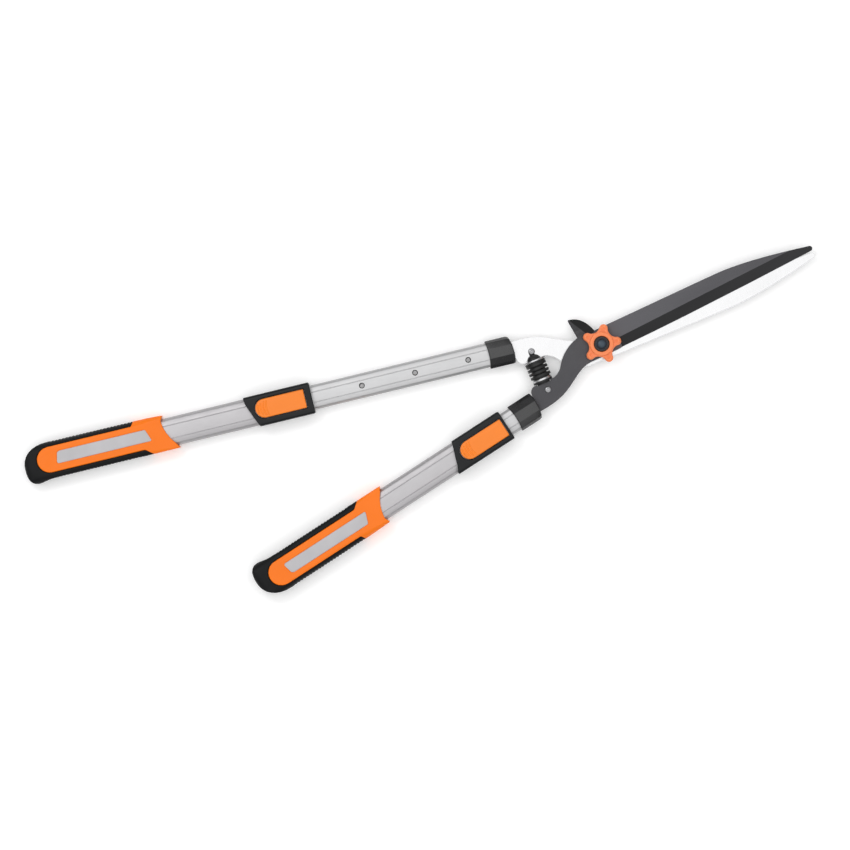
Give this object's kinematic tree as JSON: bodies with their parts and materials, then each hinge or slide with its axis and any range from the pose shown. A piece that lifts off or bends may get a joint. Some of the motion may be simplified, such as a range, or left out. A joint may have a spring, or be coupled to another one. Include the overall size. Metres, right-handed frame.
{
  "type": "hedge shears",
  "caption": "Telescopic hedge shears: coated and bright blades on a star-knob pivot, a rubber buffer between the shanks, oval sliding handles with button locks and soft grips.",
  "frame": {"origin": "on the pivot axis, at the flat face of the pivot bolt's head under the blades", "axes": "+Z along the pivot axis from the bolt head to the star knob, +X along the closed blades to their tips, +Y towards the handle of the bright rear blade"},
  "size_m": [1.0544, 0.3013, 0.0349],
  "materials": {
    "coated_blade": "satin non-stick coat",
    "bright_blade": "ground and polished",
    "orange_plastic": "satin moulded",
    "anodised_tube": "silver anodised",
    "grip_rubber": "matt, fine ribs",
    "insert_rubber": "soft matt grey",
    "buffer_rubber": "satin",
    "zinc_steel": "zinc plated",
    "bright_steel": "polished",
    "black_steel": "black oxide",
    "black_plastic": "satin moulded"
  },
  "bodies": {
    "front_arm": {"front_blade": "coated_blade", "pivot_bolt": "zinc_steel", "head_washer": "zinc_steel", "blade_washer": "zinc_steel", "knob_washer": "zinc_steel", "front_collar": "black_plastic", "front_collar_screw": "zinc_steel", "front_tang_plug": "black_plastic", "front_inner_tube": "anodised_tube", "front_tube_guide": "black_plastic", "buffer_saddle": "black_steel", "buffer_rivet": "bright_steel", "buffer_washer": "bright_steel", "buffer_rubber": "buffer_rubber"},
    "buffer_head": {"buffer_cap": "buffer_rubber"},
    "knob": {"star_knob": "orange_plastic", "cap_nut": "black_steel"},
    "rear_arm": {"rear_blade": "bright_blade", "rear_collar": "black_plastic", "rear_collar_screw": "zinc_steel", "rear_tang_plug": "black_plastic", "rear_inner_tube": "anodised_tube", "rear_tube_guide": "black_plastic", "stop_saddle": "black_steel", "stop_rivet": "bright_steel", "stop_plate": "bright_steel"},
    "front_grip": {"front_outer_tube": "anodised_tube", "front_lock_housing": "black_plastic", "front_lock_screw": "zinc_steel", "front_rocker_pin": "zinc_steel", "front_lock_spring": "zinc_steel", "front_grip_core": "orange_plastic", "front_grip_rubber": "grip_rubber", "front_grip_insert": "insert_rubber", "front_grip_insert_back": "insert_rubber", "front_tube_plug": "black_plastic"},
    "front_button": {"front_lock_button": "orange_plastic", "front_lock_pin": "zinc_steel"},
    "rear_grip": {"rear_outer_tube": "anodised_tube", "rear_lock_housing": "black_plastic", "rear_lock_screw": "zinc_steel", "rear_rocker_pin": "zinc_steel", "rear_lock_spring": "zinc_steel", "rear_grip_core": "orange_plastic", "rear_grip_rubber": "grip_rubber", "rear_grip_insert": "insert_rubber", "rear_grip_insert_back": "insert_rubber", "rear_tube_plug": "black_plastic"},
    "rear_button": {"rear_lock_button": "orange_plastic", "rear_lock_pin": "zinc_steel"}
  },
  "joints": [
    {"name": "blade_pivot", "type": "hinge", "parent": "front_arm", "child": "rear_arm", "pos_m": [0, 0, 0.01095], "axis": [0, 0, -1], "range_deg": [0, 50]},
    {"name": "tension_knob", "type": "hinge", "parent": "front_arm", "child": "knob", "pos_m": [0, 0, 0.02], "axis": [0, 0, 1], "range_deg": [-180, 180]},
    {"name": "buffer_press", "type": "slide", "parent": "front_arm", "child": "buffer_head", "axis": [0, 1, 0], "range_m": [-0.003, 0], "stiffness_N_per_m": 6000, "deforming": ["buffer_rubber"]},
    {"name": "front_telescope", "type": "slide", "parent": "front_arm", "child": "front_grip", "axis": [-0.9857, -0.1685, 0], "range_m": [0, 0.221]},
    {"name": "rear_telescope", "type": "slide", "parent": "rear_arm", "child": "rear_grip", "axis": [-0.9857, 0.1685, 0], "range_m": [-0.221, 0]},
    {"name": "front_lock_press", "type": "hinge", "parent": "front_grip", "child": "front_button", "pos_m": [-0.19416, -0.05409, 0.02535], "axis": [0.1685, -0.9857, 0], "range_deg": [0, 5.5], "stiffness_Nm_per_rad": 1.2, "deforming": ["front_lock_spring"]},
    {"name": "rear_lock_press", "type": "hinge", "parent": "rear_grip", "child": "rear_button", "pos_m": [-0.412, 0.09132, 0.02535], "axis": [-0.1685, -0.9857, 0], "range_deg": [0, 5.5], "stiffness_Nm_per_rad": 1.2, "deforming": ["rear_lock_spring"]}
  ]
}
